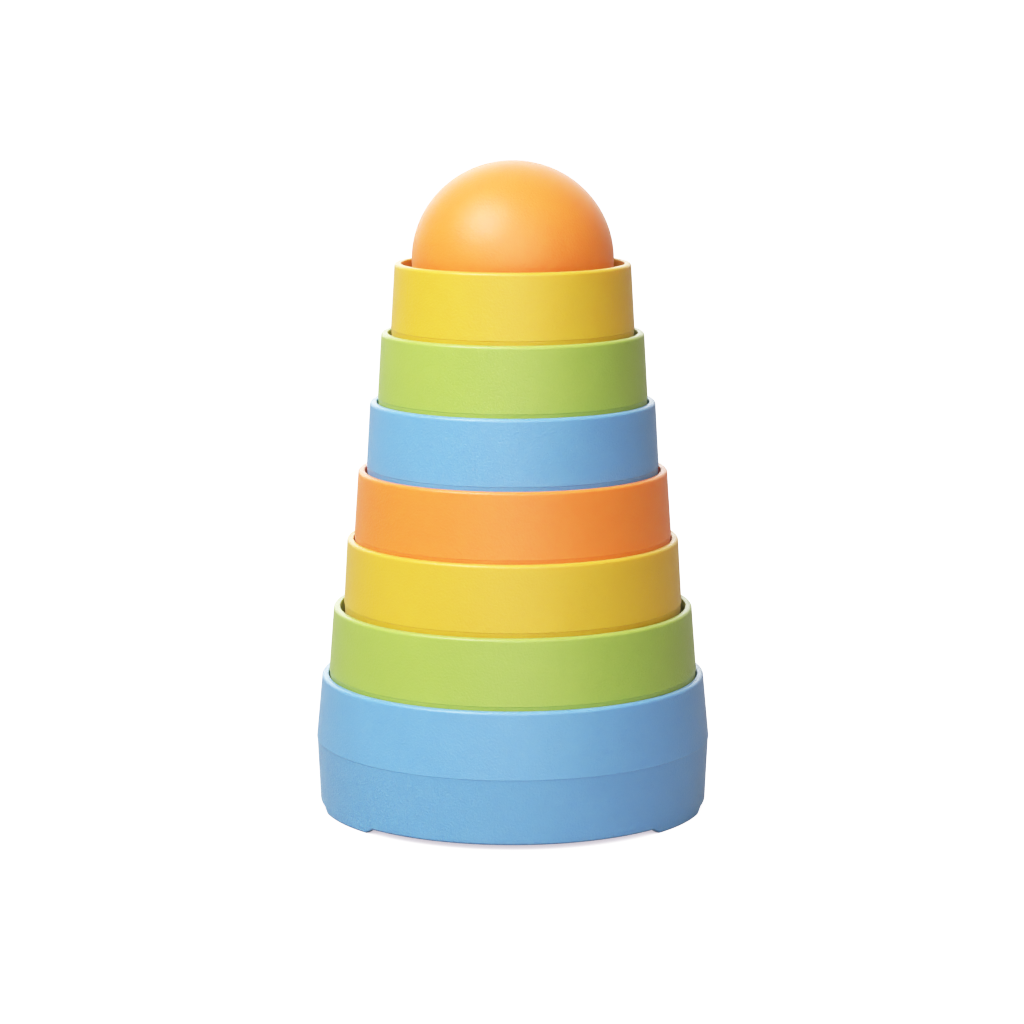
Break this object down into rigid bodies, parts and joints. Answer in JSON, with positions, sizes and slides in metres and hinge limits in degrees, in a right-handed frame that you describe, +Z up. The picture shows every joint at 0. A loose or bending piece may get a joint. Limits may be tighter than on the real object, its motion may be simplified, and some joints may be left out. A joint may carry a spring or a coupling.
{
  "type": "stacking ring toy",
  "caption": "Stacking toy of nested coloured plastic rings that taper to a rounded dome, each ring standing on a ledge inside the one below.",
  "frame": {"origin": "centre of the base ring's footprint, on the surface that its feet stand on", "axes": "+Z up along the common axis of all the rings, -Y towards the front of the toy, where one relief between two feet is centred"},
  "size_m": [0.1548, 0.1548, 0.2531],
  "materials": {
    "yellow_plastic": "satin moulded polyethylene with a fine texture",
    "green_plastic": "satin moulded polyethylene with a fine texture",
    "blue_plastic": "satin moulded polyethylene with a fine texture",
    "orange_plastic": "satin moulded polyethylene with a fine texture"
  },
  "bodies": {
    "base_ring": {"base_ring": "blue_plastic"},
    "green_ring_large": {"green_ring_large": "green_plastic"},
    "yellow_ring_large": {"yellow_ring_large": "yellow_plastic"},
    "orange_ring": {"orange_ring": "orange_plastic"},
    "blue_ring_small": {"blue_ring_small": "blue_plastic"},
    "green_ring_small": {"green_ring_small": "green_plastic"},
    "yellow_ring_small": {"yellow_ring_small": "yellow_plastic"},
    "dome": {"dome": "orange_plastic"}
  },
  "joints": [
    {"name": "green_ring_large_lift", "type": "slide", "parent": "base_ring", "child": "green_ring_large", "axis": [0, 0, 1], "range_m": [0, 0.04]},
    {"name": "yellow_ring_large_lift", "type": "slide", "parent": "green_ring_large", "child": "yellow_ring_large", "axis": [0, 0, 1], "range_m": [0, 0.04]},
    {"name": "orange_ring_lift", "type": "slide", "parent": "yellow_ring_large", "child": "orange_ring", "axis": [0, 0, 1], "range_m": [0, 0.04]},
    {"name": "blue_ring_small_lift", "type": "slide", "parent": "orange_ring", "child": "blue_ring_small", "axis": [0, 0, 1], "range_m": [0, 0.04]},
    {"name": "green_ring_small_lift", "type": "slide", "parent": "blue_ring_small", "child": "green_ring_small", "axis": [0, 0, 1], "range_m": [0, 0.04]},
    {"name": "yellow_ring_small_lift", "type": "slide", "parent": "green_ring_small", "child": "yellow_ring_small", "axis": [0, 0, 1], "range_m": [0, 0.04]},
    {"name": "dome_lift", "type": "slide", "parent": "yellow_ring_small", "child": "dome", "axis": [0, 0, 1], "range_m": [0, 0.04]}
  ]
}
